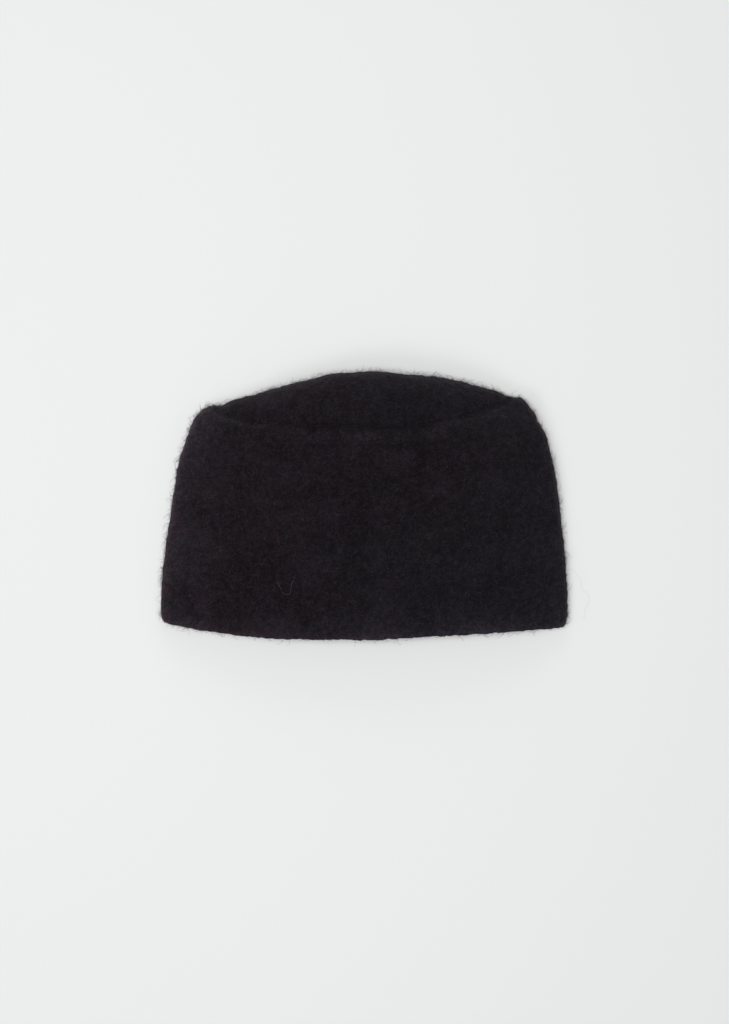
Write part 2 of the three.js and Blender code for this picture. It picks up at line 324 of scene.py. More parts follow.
def quad_shell(node_name, partner):
    """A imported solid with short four-sided faces and a crease on its seam edges."""
    shell = bmesh.new()
    shell.from_mesh(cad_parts[node_name].data)
    bmesh.ops.remove_doubles(shell, verts=shell.verts, dist=MERGE_DISTANCE)
    bmesh.ops.join_triangles(
        shell, faces=shell.faces, cmp_seam=False, cmp_sharp=False, cmp_uvs=False, cmp_vcols=False,
        cmp_materials=False, angle_face_threshold=FLAT_ENOUGH, angle_shape_threshold=FLAT_ENOUGH)
    long_edges = []
    for edge in shell.edges:
        at_hem = all(vertex.co.y < HEM_FACES_BELOW for vertex in edge.verts)
        if edge.calc_length() > (LONGEST_HEM_FACE if at_hem else LONGEST_FACE):
            long_edges.append(edge)
    bmesh.ops.subdivide_edges(shell, edges=long_edges, cuts=1, use_grid_fill=True)
    crease = shell.edges.layers.float.new("crease_edge")
    creased = seam_edges(shell, partner)
    for edge in creased:
        edge[crease] = SEAM_CREASE
    print(node_name, "faces", len(shell.faces), "creased edges", len(creased))
    return shell


view = bpy.context.evaluated_depsgraph_get()
surfaces = {name: BVHTree.FromObject(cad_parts[name], view) for name in SEWN_TO}
shells = {name: quad_shell(name, surfaces[partner]) for name, partner in SEWN_TO.items()}

# %% [markdown]
# Two guides tell the surface where it is: the line where the band's outer face ends at the cross seam, and
# the hat's outline seen from above. They could be drawn by hand, but measured from the solids they always
# fit. They are nothing but edges, and they are removed once the felt is made.

# %% Guides: the seam line and the outline
LEADS_AWAY = 1.1 * SEAM_REACH
OUTLINE_STEPS = 240
OUTLINE_SEARCH = (20 * MM, 200 * MM)
OUTLINE_PRECISION = 0.1 * MM
ABOVE_ALL = 1
DOWN = Vector((0, 0, -1))


def line_guide(name, points, edges):
    """An object of nothing but points and edges."""
    mesh = bpy.data.meshes.new(name)
    mesh.from_pydata(points, edges, [])
    guide = new_object(name, mesh)
    print(name, "edges", len(edges), "size in mm", [round(side / MM, 1) for side in guide.dimensions])
    return guide


def seam_guide(shell, partner):
    """Of the edges in the seam, those of the outer face: it leads away from the partner."""
    ends = []
    for edge in seam_edges(shell, partner):
        middles = [face.calc_center_median() for face in edge.link_faces]
        if any(partner.find_nearest(middle)[3] > LEADS_AWAY for middle in middles):
            ends += [tuple(vertex.co) for vertex in edge.verts]
    return line_guide("seam_guide", ends, [(n, n + 1) for n in range(0, len(ends), 2)])


def outline_guide():
    """The outline seen from above: in each direction, how far out there still is felt below."""
    loop = []
    for step in range(OUTLINE_STEPS):
        turn = 2 * math.pi * step / OUTLINE_STEPS
        outward = Vector((math.cos(turn), math.sin(turn), 0))
        inside, outside = OUTLINE_SEARCH
        while outside - inside > OUTLINE_PRECISION:
            middle = (inside + outside) / 2
            above = middle * outward + Vector((0, 0, ABOVE_ALL))
            if any(surface.ray_cast(above, DOWN)[0] for surface in surfaces.values()):
                inside = middle
            else:
                outside = middle
        loop.append(tuple(outward * inside))
    return line_guide("outline_guide", loop, [(n, (n + 1) % OUTLINE_STEPS) for n in range(OUTLINE_STEPS)])


seam_line = seam_guide(shells["band"], surfaces["tip"])
outline = outline_guide()

# %% [markdown]
# ## An uneven surface
# Hand-felted wool is thick in one place and thin in the next, and it is pulled down where it is sewn. This
# could be sculpted by hand, but a Geometry Nodes tree can be read and tuned. The next cells build one piece
# by piece, helpers first.

# %% Helpers for Geometry Nodes
def new_tree(name, numbers, objects=()):
    """A Geometry Nodes tree with a geometry in and out, and inputs for numbers, objects and a material."""
    tree = bpy.data.node_groups.new(name, "GeometryNodeTree")
    tree.interface.new_socket("Geometry", in_out="OUTPUT", socket_type="NodeSocketGeometry")
    kinds = {label: "Int" if isinstance(value, int) else "Float" for label, value in numbers.items()}
    kinds = {"Geometry": "Geometry", **kinds, **dict.fromkeys(objects, "Object"), "Material": "Material"}
    for label, kind in kinds.items():
        socket = tree.interface.new_socket(label, in_out="INPUT", socket_type="NodeSocket" + kind)
        if label in numbers:
            socket.default_value = numbers[label]
    return tree, tree.nodes.new("NodeGroupInput").outputs, tree.nodes.new("NodeGroupOutput")


def product(tree, *factors):
    result = factors[0]
    for factor in factors[1:]:
        result = calc(tree, "MULTIPLY", result, factor)
    return result


def total(tree, *terms):
    result = terms[0]
    for term in terms[1:]:
        result = calc(tree, "ADD", result, term)
    return result


def mix(tree, amount, first, second):
    """The first number where amount is 0, the second where it is 1."""
    return add_node(tree, "ShaderNodeMix", {0: amount, 2: first, 3: second}).outputs[0]


def fade(tree, value, start, end):
    """1 where value is at start, smoothly down to 0 at end."""
    inputs = {"Value": value, "From Min": end, "From Max": start}
    return add_node(tree, "ShaderNodeMapRange", inputs, interpolation_type="SMOOTHSTEP").outputs[0]


def hill(tree, value, middle, reach):
    """1 where value is middle, smoothly down to 0 at reach to either side."""
    return fade(tree, calc(tree, "ABSOLUTE", calc(tree, "SUBTRACT", value, middle)), 0.0, reach)


def split(tree, vector):
    """The X, Y and Z of a vector, by name."""
    return add_node(tree, "ShaderNodeSeparateXYZ", {"Vector": vector}).outputs


def combine(tree, x, y, z):
    """The vector of those three numbers."""
    return add_node(tree, "ShaderNodeCombineXYZ", {0: x, 1: y, 2: z}).outputs[0]


def position_and_normal(tree):
    """Where a point of the surface is, and which way the surface faces there."""
    place = add_node(tree, "GeometryNodeInputPosition").outputs[0]
    return place, add_node(tree, "GeometryNodeInputNormal").outputs[0]


# %% [markdown]
# Every later step asks where a point is: how far from the seam and the outline, on the outer face or inside,
# on the front or at the back. Vertex groups could say so, but the guides and the point's height answer it for
# any mesh. The answers are distances, or numbers from 0 to 1.

# %% Where a point is
OUTER_FACE = (0.8 * MM, 1.8 * MM)
ABOVE_BACK_WALL = 5 * MM
RELIEF_MIDDLE = 6 * MM
RELIEF_FADES = (28 * MM, 72 * MM)
SEAM_SHADE_REACH = 3.4 * MM
FRONT_SEAM_X = -2.05 * MM
FRONT_SEAM_REACH = 3.2 * MM
FRONT_SEAM_TOP = 46 * MM
FRONT_SEAM_FADES = 0.7 * FRONT_SEAM_TOP
OUTLINE_REACH = 4 * MM


def nearest_on(tree, guide, place, target):
    """The nearest point on a guide object's edges or faces, and how far it is."""
    shape = add_node(tree, "GeometryNodeObjectInfo", {"Object": guide}, transform_space="RELATIVE").outputs
    inputs = {"Geometry": shape["Geometry"], "Sample Position": place}
    return add_node(tree, "GeometryNodeProximity", inputs, target_element=target).outputs


def locate(tree, given):
    """What the tree knows about a point of the surface."""
    place, normal = position_and_normal(tree)
    at = split(tree, place)
    plan = combine(tree, at["X"], at["Y"], 0.0)
    partner = nearest_on(tree, given["Sewn to"], place, "FACES")
    seam = nearest_on(tree, given["Seam line"], place, "EDGES")
    from_seam = seam["Distance"]
    depth = vector_calc(tree, "DOT_PRODUCT", normal, vector_calc(tree, "SUBTRACT", place, seam["Position"]))
    outer = fade(tree, depth, *OUTER_FACE)
    from_outline = nearest_on(tree, given["Outline"], plan, "EDGES")["Distance"]
    on_front = calc(tree, "GREATER_THAN", at["Z"], ABOVE_BACK_WALL)
    off_middle = calc(tree, "ABSOLUTE", calc(tree, "SUBTRACT", at["X"], RELIEF_MIDDLE))
    in_middle = fade(tree, off_middle, *RELIEF_FADES)
    on_band = product(tree, on_front, fade(tree, at["Y"], FRONT_SEAM_FADES, FRONT_SEAM_TOP))
    return SimpleNamespace(
        place=place, normal=normal, at=at, plan=plan, partner=partner, from_seam=from_seam, outer=outer,
        from_outline=from_outline, in_middle=in_middle, on_band=on_band,
        near_outline=fade(tree, from_outline, 0.0, OUTLINE_REACH),
        relief=product(tree, on_front, in_middle, given["Puffed edge"]),
        front_seam=product(tree, hill(tree, at["X"], FRONT_SEAM_X, FRONT_SEAM_REACH), on_band),
        cross_seam=product(tree, fade(tree, from_seam, 0.0, SEAM_SHADE_REACH), outer))


# %% [markdown]
# Pressed wool has slow waves, puckers and nubs of fractions of a millimetre, and a ragged line along outline
# and seam. A texture's bump wouldn't show at the outline, so the points really move. Swollen wool fills the
# seam's valley, more at the sides, and the thread pulls each piece towards its partner. The outline draws
# back a little, to leave room for the fuzz.

# %% In and out along the normal
UNEVENNESS = {
    "Wave": {"size": 30 * MM, "height": 0.9 * MM},
    "Pucker": {"size": 10 * MM, "height": 0.45 * MM},
    "Nub": {"size": 3.6 * MM, "height": 0.35 * MM},
    "Rag": {"size": 3.4 * MM, "height": 1.1 * MM},
}
SURFACE_DETAIL = 1.5
SEAM_RAG = 0.7
SEAM_FILL = 1.1 * MM
SEAM_FILL_AT_SIDES = 2.0 * MM
SEAM_FILL_REACH = 7 * MM
SEAM_FILL_CURVE = 2.0
FRONT_SEAM_FILL = 0.5 * MM
FUZZ_ROOM = 0.4 * MM
SEAM_PULL_FROM = 1.2 * MM
SEAM_PULL = 0.55


def centred_noise(tree, place, size, height):
    """Noise of that size, from about minus height to plus height."""
    inputs = {"Vector": place, "Scale": calc(tree, "DIVIDE", 1.0, size), "Detail": SURFACE_DETAIL}
    value = add_node(tree, "ShaderNodeTexNoise", inputs).outputs["Fac"]
    return calc(tree, "MULTIPLY", calc(tree, "MULTIPLY_ADD", value, 2.0, -1.0), height)


def make_uneven(tree, given, point):
    """The point's new place."""
    fill = calc(tree, "POWER", spread(tree, point.from_seam, SEAM_FILL_REACH, 0.0), SEAM_FILL_CURVE)
    fill_height = mix(tree, point.in_middle, given["Seam fill at sides"], given["Seam fill"])
    waves, puckers, nubs, rags = [
        centred_noise(tree, point.place, given[kind + " size"], given[kind + " height"])
        for kind in UNEVENNESS]
    ragged = calc(tree, "MAXIMUM", point.near_outline, calc(tree, "MULTIPLY", point.cross_seam, SEAM_RAG))
    out = total(
        tree, waves, puckers, nubs,
        product(tree, rags, ragged),
        product(tree, fill, fill_height, point.outer),
        product(tree, point.near_outline, -FUZZ_ROOM),
        product(tree, point.front_seam, FRONT_SEAM_FILL))
    pull = add_node(tree, "ShaderNodeMapRange", {
        "Value": point.partner["Distance"], "From Min": SEAM_PULL_FROM, "From Max": 0.0,
        "To Max": SEAM_PULL}).outputs[0]
    gap = vector_calc(tree, "SUBTRACT", point.partner["Position"], point.place)
    moved = vector_calc(tree, "ADD", point.place, vector_calc(tree, "SCALE", point.normal, out))
    return vector_calc(tree, "ADD", moved, vector_calc(tree, "SCALE", gap, pull))


# %% [markdown]
# Cloth never lies quite as it was drawn. In the photo the outline sags at the upper left, and it and the seam
# wander by a millimetre or two. A new solid would be much work for that, so a few soft pushes do it, each
# strongest at one place and gone at its reach. What lies on the table stays on it.

# %% Soft pushes that follow the photo
SLUMP_DEPTH = 2.2 * MM
SLUMP_RIGHT = (-42 * MM, -15 * MM)
SLUMP_LEFT = (-99 * MM, -107 * MM)
SLUMP_FRONT = (40 * MM, 20 * MM)
SLUMP_REACH = 25 * MM
NUDGES_IN_MM = [
    {"at": (-78, 58), "reach": 40, "by": (0, -2.0)},
    {"at": (30, 57), "reach": 36, "by": (0, -2.2)},
    {"at": (-115, 66), "reach": 13, "by": (1.2, -0.9)},
    {"at": (-100, 72), "reach": 12, "by": (0, -1.2)},
    {"at": (33, 93), "reach": 28, "by": (0, -1.6)},
    {"at": (102, 77), "reach": 5, "by": (0, -0.6)},
    {"at": (109.5, 75), "reach": 9, "by": (0, 1.6)},
    {"at": (121, 63), "reach": 17, "by": (-1.4, -0.7)},
]


def in_metres(pair):
    """X and Y in metres from a pair in millimetres, with Z 0."""
    return (pair[0] * MM, pair[1] * MM, 0)


def follow_photo(tree, point, moved):
    """The moved point, pushed on where the photo shows it, but not into the table."""
    across = point.at["X"]
    slump = product(
        tree, fade(tree, across, *SLUMP_RIGHT), fade(tree, across, *SLUMP_LEFT),
        fade(tree, point.at["Y"], *SLUMP_FRONT),
        fade(tree, point.from_outline, 0.0, SLUMP_REACH), SLUMP_DEPTH)
    for nudge in NUDGES_IN_MM:
        away = vector_calc(tree, "DISTANCE", point.plan, in_metres(nudge["at"]))
        share = fade(tree, away, 0.0, nudge["reach"] * MM)
        push = vector_calc(tree, "SCALE", in_metres(nudge["by"]), share)
        moved = vector_calc(tree, "ADD", moved, push)
    parts = split(tree, moved)
    back = calc(tree, "SUBTRACT", parts["Y"], slump)
    return combine(tree, parts["X"], back, calc(tree, "MAXIMUM", parts["Z"], 0.0))


# %% [markdown]
# Light doesn't reach into the seams: the cross seam, the upright seam, which fades and returns along its
# length, and a faint line of stitches below the puffed edge. This shade is painted into the colour, from a
# note on the points worked out from the seams' places, so that it can be tuned.

# %% Note for the materials: painted shade in the seams
SEAM_SHADE_AT_SIDES = 0.15
STITCHES_BELOW_SEAM = 13.5 * MM
STITCHES_REACH = 2.8 * MM
STITCHES_SHADE = 0.4
FRONT_SEAM_SHADE = 0.45
PATCHES = {"size": 22 * MM, "range": (0.2, 0.7)}
DEEPEST_FRONT_SEAM = 0.8
DEEPEST_AT = 4 * MM
DEEPEST_REACH = 20 * MM


def shade_seams(tree, point, patchy):
    """How much painted shade a seam gives the felt, 0 to 1."""
    by_side = calc(tree, "MULTIPLY_ADD", point.in_middle, 1 - SEAM_SHADE_AT_SIDES, SEAM_SHADE_AT_SIDES)
    cross_shade = product(tree, point.cross_seam, by_side)
    below = hill(tree, point.from_seam, STITCHES_BELOW_SEAM, STITCHES_REACH)
    stitches = product(tree, below, point.relief, STITCHES_SHADE)
    deepest = product(tree, hill(tree, point.at["Y"], DEEPEST_AT, DEEPEST_REACH), DEEPEST_FRONT_SEAM)
    uneven = product(tree, spread(tree, patchy, *PATCHES["range"]), FRONT_SEAM_SHADE)
    front_shade = product(tree, point.front_seam, calc(tree, "MAXIMUM", deepest, uneven))
    return calc(tree, "MAXIMUM", calc(tree, "MAXIMUM", front_shade, cross_shade), stitches)


# %% [markdown]
# Where the felt bends it catches more light: on the puffed edge, on the two soft shoulders beside the
# upright seam, and along the outline, most at the left fold, which faces the lamps on the left. A shader's
# sheen alone is too even for that, so this light is painted highlight: a second note says where, strongest at
# the outline and less further in.

# %% Note for the materials: painted highlight
HIGHLIGHT_REACH = 5.2 * MM
HIGHLIGHT_FALLOFF = 1.5
HIGHLIGHT_MIN_DISTANCE = 0.7 * MM
LEFT = {"axis": "X", "starts": -112 * MM, "ends": -88 * MM, "highlight": 5.6}
RIGHT = {"axis": "X", "starts": 112 * MM, "ends": 88 * MM, "highlight": 2.1}
HEM = {"axis": "Y", "starts": -84 * MM, "ends": -60 * MM, "highlight": 3.7}
TIP = {"axis": "Y", "starts": 82 * MM, "ends": 58 * MM, "highlight": 0.3}
RIDGE_BELOW_SEAM = 7.4 * MM
RIDGE_REACH = 5 * MM
RIDGE_HIGHLIGHT = 0.75
SHOULDERS = (-8.5 * MM, 10 * MM)
SHOULDER_REACH = 5.5 * MM
SHOULDER_HIGHLIGHT = 0.16


def towards(tree, at, side):
    """1 at that side of the hat, smoothly down to 0 further in."""
    return fade(tree, at[side["axis"]], side["starts"], side["ends"])


def paint_highlight(tree, point, patchy):
    """How much painted highlight the felt gets, 0 where it gets none."""
    highlight = 0.0
    for side in (LEFT, RIGHT, HEM, TIP):
        highlight = calc(tree, "MAXIMUM", highlight, product(tree, towards(tree, point.at, side), side["highlight"]))
    distance = calc(tree, "MAXIMUM", point.from_outline, HIGHLIGHT_MIN_DISTANCE)
    profile = calc(tree, "DIVIDE", HIGHLIGHT_REACH, calc(tree, "ADD", distance, HIGHLIGHT_REACH))
    profile = calc(tree, "POWER", profile, HIGHLIGHT_FALLOFF)
    shoulders = [
        product(tree, hill(tree, point.at["X"], middle, SHOULDER_REACH), point.on_band, SHOULDER_HIGHLIGHT, patchy)
        for middle in SHOULDERS]
    return total(
        tree,
        product(tree, highlight, profile),
        product(tree, hill(tree, point.from_seam, RIDGE_BELOW_SEAM, RIDGE_REACH), point.relief, RIDGE_HIGHLIGHT),
        *shoulders)


# %% [markdown]
# Now the steps make one tree, whose named inputs let band and tip share it with other values. Two more notes,
# for the fuzz, say what is near the outline and what is near the cross seam. At its end the tree makes its
# instances real and sets the material.

# %% Geometry Nodes tree: an uneven felt surface
OUTLINE_ATTRIBUTE = "near_outline"
LINE_ATTRIBUTE = "near_seam"


def finish_tree(tree, given, result, geometry):
    """Makes instances real, sets the material and links the tree's output."""
    whole = add_node(tree, "GeometryNodeRealizeInstances", {"Geometry": geometry}).outputs[0]
    dressed = add_node(tree, "GeometryNodeSetMaterial", {"Geometry": whole, "Material": given["Material"]})
    tree.links.new(dressed.outputs[0], result.inputs["Geometry"])


def make_surface_tree():
    numbers = {"Seam fill": SEAM_FILL, "Seam fill at sides": SEAM_FILL_AT_SIDES, "Puffed edge": 1.0}
    for kind, row in UNEVENNESS.items():
        numbers[kind + " size"] = row["size"]
        numbers[kind + " height"] = row["height"]
    tree, given, result = new_tree("uneven_felt", numbers, ("Sewn to", "Seam line", "Outline"))
    point = locate(tree, given)
    patchy = noise(tree, point.place, PATCHES["size"], detail=1.0)
    notes = {
        SEAM_ATTRIBUTE: shade_seams(tree, point, patchy),
        HIGHLIGHT_ATTRIBUTE: paint_highlight(tree, point, patchy),
        OUTLINE_ATTRIBUTE: point.near_outline,
        LINE_ATTRIBUTE: point.cross_seam,
    }
    marked = given["Geometry"]
    for name, value in notes.items():
        inputs = {"Geometry": marked, "Name": name, "Value": value}
        marked = add_node(tree, "GeometryNodeStoreNamedAttribute", inputs).outputs[0]
    moved = follow_photo(tree, point, make_uneven(tree, given, point))
    shaped = add_node(tree, "GeometryNodeSetPosition", {"Geometry": marked, "Position": moved}).outputs[0]
    finish_tree(tree, given, result, shaped)
    return tree


surface_tree = make_surface_tree()
print("surface tree nodes:", len(surface_tree.nodes))

# %% [markdown]
# Modifiers are only instructions, and could stay so in Blender. Here each piece is evaluated once, and its
# result, a plain mesh, takes the place of its modifiers.

# %% Turn a piece with modifiers into a plain mesh
def add_nodes_modifier(piece, tree, values):
    """Puts a tree on a piece and sets its inputs by their sockets' identifiers."""
    modifier = piece.modifiers.new(tree.name, "NODES")
    modifier.node_group = tree
    for item in tree.interface.items_tree:
        if item.in_out == "INPUT" and item.name in values:
            modifier[item.identifier] = values[item.name]


def evaluated_mesh(thing):
    """A new plain mesh of what an object's modifiers, or its curve, make."""
    bpy.context.view_layer.update()
    return bpy.data.meshes.new_from_object(thing.evaluated_get(bpy.context.evaluated_depsgraph_get()))


def make_plain(piece):
    """Gives a piece the mesh that its modifiers make, and removes them."""
    mesh = evaluated_mesh(piece)
    mesh.name = piece.name
    piece.modifiers.clear()
    piece.data = mesh
    mesh.shade_smooth()
    print(piece.name, "triangles", sum(len(face.vertices) - 2 for face in mesh.polygons))


# %% [markdown]
# The band is a tall strip of felt closed into a ring, and the tip is the oval that closes its top. Each takes
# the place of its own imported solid. Only the band has the puffed edge below the seam, because the tip's seam
# allowance is turned down inside the band there.

# %% The band and the tip in felt
SMOOTH_LEVELS = 2


def felt_piece(node_name):
    mesh = bpy.data.meshes.new("felt_" + node_name)
    shells[node_name].to_mesh(mesh)
    shells[node_name].free()
    piece = new_object("felt_" + node_name, mesh)
    rounding = piece.modifiers.new("rounding", "SUBSURF")
    rounding.levels = rounding.render_levels = SMOOTH_LEVELS
    add_nodes_modifier(piece, surface_tree, {
        "Sewn to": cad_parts[SEWN_TO[node_name]], "Seam line": seam_line, "Outline": outline,
        "Puffed edge": float(node_name == "band"), "Material": felt})
    make_plain(piece)
    return piece


felt_band = felt_piece("band")
felt_tip = felt_piece("tip")
for guide in (seam_line, outline):
    bpy.data.objects.remove(guide)
for piece, node_name in ((felt_band, "band"), (felt_tip, "tip")):
    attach(piece, "root")
    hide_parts(node_name)

# %% [markdown]
# ## Fuzz
# Felted wool keeps a nap of short, curled fibres. They blur the seam, soften the outline and give the surface
# its grain, so they are made one by one. A particle system could do it, but its hairs have no thickness in a
# plain mesh. A single fibre is a little lighter than the felt, because light passes through it, and against
# the pale table it looks warmer.

# %% Fibre material
FIBRE_DARK = (0.004, 0.0035, 0.0043, 1)
FIBRE_LIGHT = (0.065, 0.057, 0.068, 1)
FRINGE_DARK = (0.020, 0.008, 0.009, 1)
FRINGE_LIGHT = (0.095, 0.060, 0.064, 1)
FIBRE_SHADES = {"size": 3 * MM, "range": (0.4, 0.72)}
FIBRE_HIGHLIGHT_GAIN = 0.25
FIBRE_SHADER = {"Roughness": 0.7, "Specular IOR Level": 0.25}


def make_fibre_material(name, dark, light):
    material, tree, shader = new_material(name, FIBRE_SHADER)
    shade = layer(tree, add_node(tree, "ShaderNodeTexCoord").outputs["Object"], FIBRE_SHADES)
    # Painted highlight: where the felt's note says so, fibres are lighter.
    gain = calc(tree, "MULTIPLY_ADD", point_note(tree, HIGHLIGHT_ATTRIBUTE), FIBRE_HIGHLIGHT_GAIN, 1.0)
    colour = blend_colours(tree, "MIX", calc(tree, "MULTIPLY", shade, gain), dark, light)
    # Painted shade: in the seams, fibres are darkened to the felt's dark colour.
    colour = blend_colours(tree, "MIX", point_note(tree, SEAM_ATTRIBUTE), colour, FELT_DARK)
    tree.links.new(colour, shader.inputs["Base Color"])
    return material


fibre_wool = make_fibre_material("fibre_wool", FIBRE_DARK, FIBRE_LIGHT)
fringe_wool = make_fibre_material("fringe_wool", FRINGE_DARK, FRINGE_LIGHT)
print("fibre materials:", fibre_wool.name, fringe_wool.name)

# %% [markdown]
# Fuzz is thicker at the outline and in the seam, it grows in tufts, and there is none inside the hat or below
# it. An even scatter would look like velvet, so this step works out how many fibres grow on each square
# metre, from the notes that the surface tree left.

# %% How many fibres grow where
PER_SQUARE_MM = 1 / MM ** 2
NO_FUZZ_BELOW = 4.5 * MM
SHOWN_ABOVE = -0.4
TUFT_SIZE = 3.2 * MM
TUFT_RANGE = (0.4, 0.65)
TUFT_GAIN = 2.4
PRESSED_LOSS = 0.3


def surface_note(tree, name):
    """A note of the surface tree, read in Geometry Nodes."""
    return add_node(tree, "GeometryNodeInputNamedAttribute", {"Name": name}).outputs[0]


def fibre_density(tree, given, place, normal):
    """Fibres on each square metre."""
    at = split(tree, place)
    edges = surface_note(tree, OUTLINE_ATTRIBUTE)
    shown = calc(tree, "GREATER_THAN", split(tree, normal)["Z"], SHOWN_ABOVE)
    clear = calc(tree, "MAXIMUM", calc(tree, "GREATER_THAN", at["Z"], NO_FUZZ_BELOW), edges)
    tufts = add_node(tree, "ShaderNodeTexNoise", {"Vector": place, "Scale": 1 / TUFT_SIZE}).outputs["Fac"]
    tufts = calc(tree, "MULTIPLY", spread(tree, tufts, *TUFT_RANGE), TUFT_GAIN)
    tufts = mix(tree, given["Clumps"], 1.0, tufts)
    fringe = 1.0
    for name, side in (("hem", HEM), ("left", LEFT)):
        more = calc(tree, "SUBTRACT", given["Fuzz at " + name], 1.0)
        fringe = calc(tree, "MULTIPLY_ADD", towards(tree, at, side), more, fringe)
    at_edges = calc(tree, "MULTIPLY", given["Per square mm at edges"], fringe)
    density = mix(tree, edges, given["Fibres per square mm"], at_edges)
    in_seam = surface_note(tree, LINE_ATTRIBUTE)
    density = calc(tree, "MULTIPLY_ADD", in_seam, given["Per square mm at seam"], density)
    loose = calc(tree, "MULTIPLY_ADD", surface_note(tree, SEAM_ATTRIBUTE), -PRESSED_LOSS, 1.0)
    return product(tree, density, PER_SQUARE_MM, shown, clear, tufts, loose)


# %% [markdown]
# No two fibres are alike: each gets its own place, direction, length, bend and lift. They could be set row by
# row, but there are tens of thousands, so they are drawn at random, from one seed with a fixed offset for
# each, and every run gives the same hat. Then a straight line of a few points is set on every root.

# %% Roots, and a straight line on each
LONGEST_MORE = 1.2
SHORTEST = 0.4
LEAST_LIFT = 0.1


def random_value(tree, low, high, seed, offset):
    """A random number for each point, from the tree's seed plus an offset of its own."""
    inputs = {2: low, 3: high, "Seed": calc(tree, "ADD", seed, offset)}
    return add_node(tree, "FunctionNodeRandomValue", inputs, data_type="FLOAT").outputs[1]


def plant_fibres(tree, given):
    """The curves, still straight, and what each of them keeps from its root."""
    place, normal = position_and_normal(tree)
    seed = given["Seed"]
    roots = add_node(tree, "GeometryNodeDistributePointsOnFaces", {
        "Mesh": given["Geometry"], "Density": fibre_density(tree, given, place, normal),
        "Seed": seed}).outputs
    chance = add_node(tree, "FunctionNodeRandomValue", {
        0: (-1, -1, -1), 1: (1, 1, 1), "Seed": seed}, data_type="FLOAT_VECTOR").outputs[0]
    along = vector_calc(tree, "NORMALIZE", vector_calc(tree, "CROSS_PRODUCT", roots["Normal"], chance))
    share = random_value(tree, 0.0, 1.0, seed, 1)
    length = calc(tree, "MULTIPLY_ADD", calc(tree, "MULTIPLY", share, share), LONGEST_MORE, SHORTEST)
    kept = {
        "root": place,
        "normal": roots["Normal"],
        "along": along,
        "across": vector_calc(tree, "CROSS_PRODUCT", roots["Normal"], along),
        "length": calc(tree, "MULTIPLY", length, given["Length"]),
        "bend": calc(tree, "DIVIDE", random_value(tree, -1.0, 1.0, seed, 2), given["Curl radius"]),
        "lift": calc(tree, "MULTIPLY", random_value(tree, LEAST_LIFT, 1.0, seed, 3), given["Lift"]),
    }
    capture = add_node(tree, "GeometryNodeCaptureAttribute", {"Geometry": roots["Points"]})
    for name, value in kept.items():
        capture.capture_items.new("VECTOR" if value.type == "VECTOR" else "FLOAT", name)
        tree.links.new(value, capture.inputs[name])
        kept[name] = capture.outputs[name]

    line = add_node(tree, "GeometryNodeCurvePrimitiveLine", {"End": (1, 0, 0)}).outputs[0]
    line = add_node(tree, "GeometryNodeResampleCurve", {"Curve": line, "Count": given["Points"]}).outputs[0]
    inputs = {"Points": capture.outputs["Geometry"], "Instance": line}
    copies = add_node(tree, "GeometryNodeInstanceOnPoints", inputs).outputs[0]
    curves = add_node(tree, "GeometryNodeRealizeInstances", {"Geometry": copies}).outputs[0]
    return curves, SimpleNamespace(**kept)


# %% [markdown]
# A wool fibre leaves the surface, curls to one side and bends back down. Simulated hair would do so too, with
# far more work. Here sine and cosine set its points on an arc, and the lift bows down towards the tip.

# %% Curl each fibre
BOW_DOWN = 0.45
FIBRE_ROOT_DEPTH = 0.12 * MM


def curl_fibres(tree, given, curves, kept, share):
    """The curves as arcs. share is how far along its fibre a point is, 0 to 1."""
    reach = calc(tree, "MULTIPLY", share, kept.length)
    turn = calc(tree, "MULTIPLY", reach, kept.bend)
    forward = calc(tree, "DIVIDE", calc(tree, "SINE", turn), kept.bend)
    aside = calc(tree, "DIVIDE", calc(tree, "SUBTRACT", 1.0, calc(tree, "COSINE", turn)), kept.bend)
    bow = calc(tree, "MULTIPLY_ADD", share, -BOW_DOWN, 1.0)
    rise = calc(tree, "MULTIPLY", calc(tree, "MULTIPLY", reach, kept.lift), bow)
    rise = calc(tree, "SUBTRACT", rise, FIBRE_ROOT_DEPTH)
    where = kept.root
    for direction, distance in ((kept.along, forward), (kept.across, aside), (kept.normal, rise)):
        where = vector_calc(tree, "ADD", where, vector_calc(tree, "SCALE", direction, distance))
    parts = split(tree, where)
    where = combine(tree, parts["X"], parts["Y"], calc(tree, "MAXIMUM", parts["Z"], given["Thickness"]))
    return add_node(tree, "GeometryNodeSetPosition", {"Geometry": curves, "Position": where}).outputs[0]


# %% [markdown]
# Last, each line gets a thin skin that tapers towards its tip and is closed at both ends. Hair curves would
# do in a render, but not in an exported mesh. With three sides, a fibre of four points costs only twenty
# triangles.

# %% Geometry Nodes tree: curled fibres on a surface
FIBRE_SIDES = 3
FIBRE_POINTS = 4


